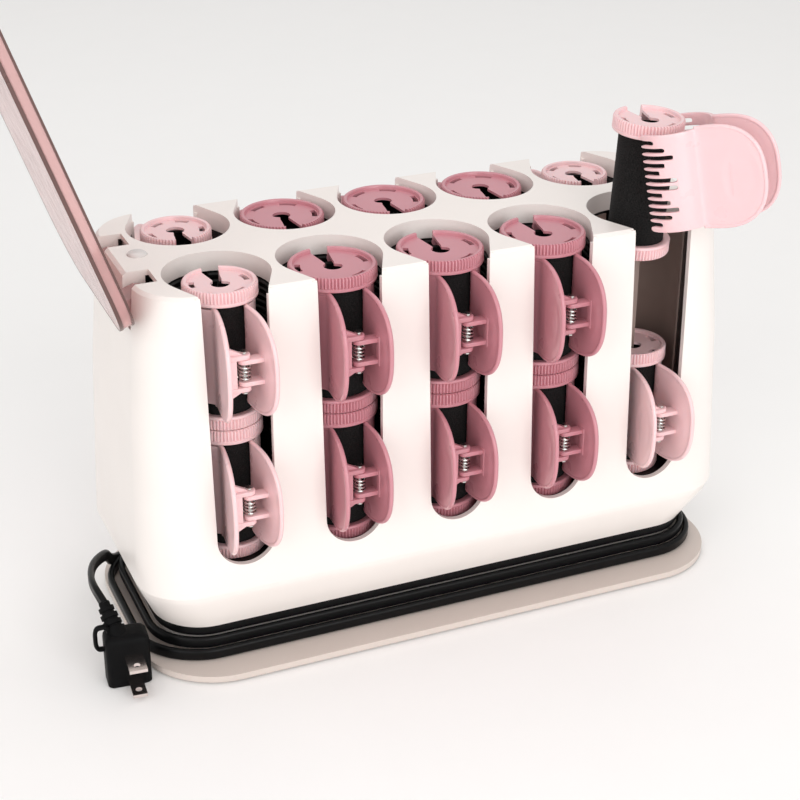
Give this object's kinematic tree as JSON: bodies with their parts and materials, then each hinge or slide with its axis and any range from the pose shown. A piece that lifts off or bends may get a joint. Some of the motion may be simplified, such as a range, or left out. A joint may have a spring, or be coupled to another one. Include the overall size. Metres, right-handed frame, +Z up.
{
  "type": "heated hair roller set",
  "caption": "Heated hair-roller set: a slotted case of wells, flocked rollers with spring claw clips, a hinged lid and a cord wound on the base.",
  "frame": {"origin": "centre of the base, on the table that its feet rest on", "axes": "+X to the right along the rows of wells, away from the lid's hinge; +Y from the front row to the back row; +Z up"},
  "size_m": [0.3779, 0.1639, 0.4231],
  "materials": {
    "ivory_case": "satin moulded ABS, warm ivory",
    "liner_black": "matte ribbed moulding",
    "heater_metal": "heat-tinted sheet",
    "heater_body": "ceramic-filled block",
    "lens_clear": "frosted clear dome",
    "steel": "plated wire and pins",
    "foot_rubber": "matte",
    "cord_black": "smooth PVC",
    "blade_nickel": "nickel plated, fine scratches",
    "lid_rose": "translucent rose, polished",
    "cap_light_pink": "satin-gloss moulding",
    "cap_dusty_rose": "satin-gloss moulding",
    "clip_pale_pink": "satin-gloss moulding",
    "clip_light_pink": "satin-gloss moulding",
    "clip_dusty_rose": "satin-gloss moulding"
  },
  "bodies": {
    "case": {"upper_case": "ivory_case", "lower_skirt": "ivory_case", "base_plate": "ivory_case", "base_feet": "foot_rubber", "base_screws": "steel", "well_liner": "liner_black", "heat_plates": "heater_metal", "heating_elements": "heater_body", "thermostat": "heater_metal", "indicator_lens": "lens_clear", "hinge_pins": "steel", "cord_grommet": "cord_black", "cord_winding": "cord_black", "cord_tail": "cord_black", "plug_body": "cord_black", "plug_blades": "blade_nickel"},
    "lid": {"lid": "lid_rose"},
    "roller_front_lower_1": {"roller_front_lower_1": "cap_light_pink", "clip_front_lower_1": "clip_light_pink"},
    "roller_front_upper_1": {"roller_front_upper_1": "cap_light_pink", "clip_front_upper_1": "clip_light_pink"},
    "roller_front_lower_2": {"roller_front_lower_2": "cap_dusty_rose", "clip_front_lower_2": "clip_dusty_rose"},
    "roller_front_upper_2": {"roller_front_upper_2": "cap_dusty_rose", "clip_front_upper_2": "clip_dusty_rose"},
    "roller_front_lower_3": {"roller_front_lower_3": "cap_dusty_rose", "clip_front_lower_3": "clip_dusty_rose"},
    "roller_front_upper_3": {"roller_front_upper_3": "cap_dusty_rose", "clip_front_upper_3": "clip_dusty_rose"},
    "roller_front_lower_4": {"roller_front_lower_4": "cap_dusty_rose", "clip_front_lower_4": "clip_dusty_rose"},
    "roller_front_upper_4": {"roller_front_upper_4": "cap_dusty_rose", "clip_front_upper_4": "clip_dusty_rose"},
    "roller_front_lower_5": {"roller_front_lower_5": "cap_light_pink", "clip_front_lower_5": "clip_light_pink"},
    "roller_front_upper_5": {"roller_front_upper_5": "cap_light_pink", "raised_clip_pin": "steel", "raised_clip_spring": "steel"},
    "roller_back_lower_1": {"roller_back_lower_1": "cap_light_pink", "clip_back_lower_1": "clip_light_pink"},
    "roller_back_upper_1": {"roller_back_upper_1": "cap_light_pink", "clip_back_upper_1": "clip_light_pink"},
    "roller_back_lower_2": {"roller_back_lower_2": "cap_dusty_rose", "clip_back_lower_2": "clip_dusty_rose"},
    "roller_back_upper_2": {"roller_back_upper_2": "cap_dusty_rose", "clip_back_upper_2": "clip_dusty_rose"},
    "roller_back_lower_3": {"roller_back_lower_3": "cap_dusty_rose", "clip_back_lower_3": "clip_dusty_rose"},
    "roller_back_upper_3": {"roller_back_upper_3": "cap_dusty_rose", "clip_back_upper_3": "clip_dusty_rose"},
    "roller_back_lower_4": {"roller_back_lower_4": "cap_dusty_rose", "clip_back_lower_4": "clip_dusty_rose"},
    "roller_back_upper_4": {"roller_back_upper_4": "cap_dusty_rose", "clip_back_upper_4": "clip_dusty_rose"},
    "roller_back_lower_5": {"roller_back_lower_5": "cap_light_pink", "clip_back_lower_5": "clip_light_pink"},
    "roller_back_upper_5": {"roller_back_upper_5": "cap_light_pink", "clip_back_upper_5": "clip_light_pink"},
    "raised_clip_front_jaw": {"raised_clip_front_jaw": "clip_pale_pink"},
    "raised_clip_back_jaw": {"raised_clip_back_jaw": "clip_pale_pink"}
  },
  "joints": [
    {"name": "lid_hinge", "type": "hinge", "parent": "case", "child": "lid", "pos_m": [-0.1315, 0, 0.1725], "axis": [0, -1, 0], "range_deg": [-88, 0]},
    {"name": "lift_front_lower_1", "type": "slide", "parent": "case", "child": "roller_front_lower_1", "axis": [0, 0, 1], "range_m": [0, 0.128]},
    {"name": "lift_front_upper_1", "type": "slide", "parent": "roller_front_lower_1", "child": "roller_front_upper_1", "axis": [0, 0, 1], "range_m": [0, 0.065]},
    {"name": "lift_front_lower_2", "type": "slide", "parent": "case", "child": "roller_front_lower_2", "axis": [0, 0, 1], "range_m": [0, 0.128]},
    {"name": "lift_front_upper_2", "type": "slide", "parent": "roller_front_lower_2", "child": "roller_front_upper_2", "axis": [0, 0, 1], "range_m": [0, 0.065]},
    {"name": "lift_front_lower_3", "type": "slide", "parent": "case", "child": "roller_front_lower_3", "axis": [0, 0, 1], "range_m": [0, 0.128]},
    {"name": "lift_front_upper_3", "type": "slide", "parent": "roller_front_lower_3", "child": "roller_front_upper_3", "axis": [0, 0, 1], "range_m": [0, 0.065]},
    {"name": "lift_front_lower_4", "type": "slide", "parent": "case", "child": "roller_front_lower_4", "axis": [0, 0, 1], "range_m": [0, 0.128]},
    {"name": "lift_front_upper_4", "type": "slide", "parent": "roller_front_lower_4", "child": "roller_front_upper_4", "axis": [0, 0, 1], "range_m": [0, 0.065]},
    {"name": "lift_front_lower_5", "type": "slide", "parent": "case", "child": "roller_front_lower_5", "axis": [0, 0, 1], "range_m": [0, 0.04]},
    {"name": "lift_front_upper_5", "type": "slide", "parent": "case", "child": "roller_front_upper_5", "axis": [0.0514, -0.0218, 0.9984], "range_m": [0, 0.06]},
    {"name": "lift_back_lower_1", "type": "slide", "parent": "case", "child": "roller_back_lower_1", "axis": [0, 0, 1], "range_m": [0, 0.128]},
    {"name": "lift_back_upper_1", "type": "slide", "parent": "roller_back_lower_1", "child": "roller_back_upper_1", "axis": [0, 0, 1], "range_m": [0, 0.065]},
    {"name": "lift_back_lower_2", "type": "slide", "parent": "case", "child": "roller_back_lower_2", "axis": [0, 0, 1], "range_m": [0, 0.128]},
    {"name": "lift_back_upper_2", "type": "slide", "parent": "roller_back_lower_2", "child": "roller_back_upper_2", "axis": [0, 0, 1], "range_m": [0, 0.065]},
    {"name": "lift_back_lower_3", "type": "slide", "parent": "case", "child": "roller_back_lower_3", "axis": [0, 0, 1], "range_m": [0, 0.128]},
    {"name": "lift_back_upper_3", "type": "slide", "parent": "roller_back_lower_3", "child": "roller_back_upper_3", "axis": [0, 0, 1], "range_m": [0, 0.065]},
    {"name": "lift_back_lower_4", "type": "slide", "parent": "case", "child": "roller_back_lower_4", "axis": [0, 0, 1], "range_m": [0, 0.128]},
    {"name": "lift_back_upper_4", "type": "slide", "parent": "roller_back_lower_4", "child": "roller_back_upper_4", "axis": [0, 0, 1], "range_m": [0, 0.065]},
    {"name": "lift_back_lower_5", "type": "slide", "parent": "case", "child": "roller_back_lower_5", "axis": [0, 0, 1], "range_m": [0, 0.128]},
    {"name": "lift_back_upper_5", "type": "slide", "parent": "roller_back_lower_5", "child": "roller_back_upper_5", "axis": [0, 0, 1], "range_m": [0, 0.065]},
    {"name": "clip_front_jaw", "type": "hinge", "parent": "roller_front_upper_5", "child": "raised_clip_front_jaw", "pos_m": [0.12308, -0.07414, 0.20939], "axis": [-0.1163, 0.1724, 0.9781], "range_deg": [0, 9], "stiffness_Nm_per_rad": 0.15, "springref_deg": -20.05},
    {"name": "clip_back_jaw", "type": "hinge", "parent": "roller_front_upper_5", "child": "raised_clip_back_jaw", "pos_m": [0.12308, -0.07414, 0.20939], "axis": [0.1163, -0.1724, -0.9781], "range_deg": [0, 9], "stiffness_Nm_per_rad": 0.15, "springref_deg": -20.05}
  ],
  "couplings": [
    {"joint": "clip_back_jaw", "follows": "clip_front_jaw", "ratio": 1}
  ]
}
